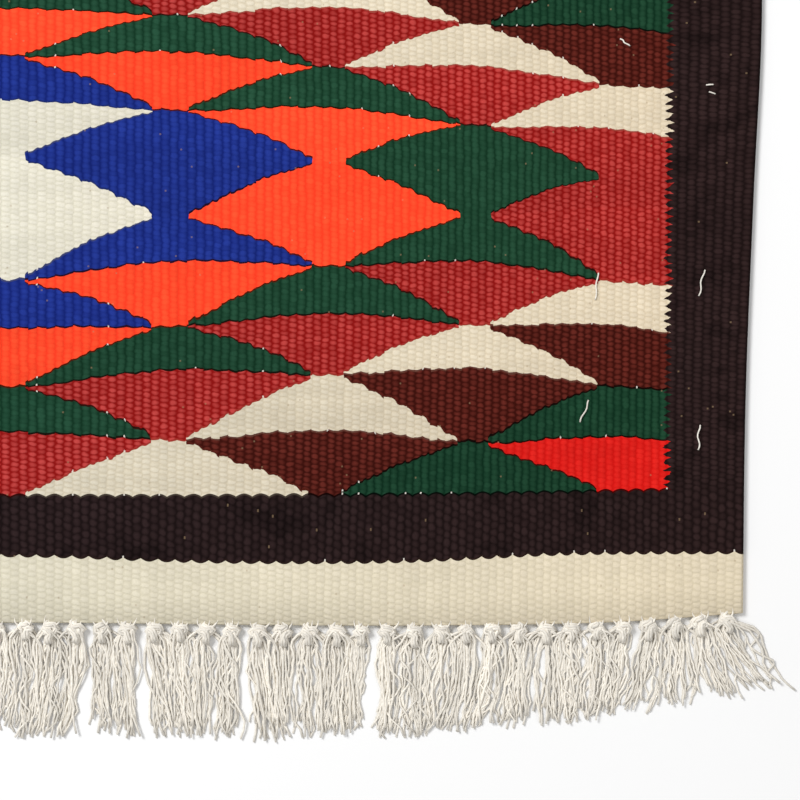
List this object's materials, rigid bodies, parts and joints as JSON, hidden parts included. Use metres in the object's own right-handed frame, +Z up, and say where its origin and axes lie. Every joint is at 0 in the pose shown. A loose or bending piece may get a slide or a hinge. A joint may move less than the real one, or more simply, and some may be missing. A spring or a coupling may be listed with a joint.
{
  "type": "kilim rug",
  "caption": "Flat-woven kilim rug with stepped triangle medallions, dark borders, pale woven ends and knotted cotton fringes at both ends.",
  "frame": {"origin": "on the floor, under the middle of the rug with its fringes", "axes": "+X across the rug along the weft, to its right side; +Y along its length with the warp, away from the near end; +Z up, out of the face"},
  "size_m": [0.8411, 1.4459, 0.006],
  "materials": {
    "woven_wool": "matt weft-faced tapestry weave of coarse dyed wool over thick warp cords",
    "fringe_cotton": "matt off-white cotton thread, knotted and loose"
  },
  "bodies": {
    "root": {"web": "woven_wool", "fringe_near": "fringe_cotton", "fringe_far": "fringe_cotton"}
  },
  "joints": []
}
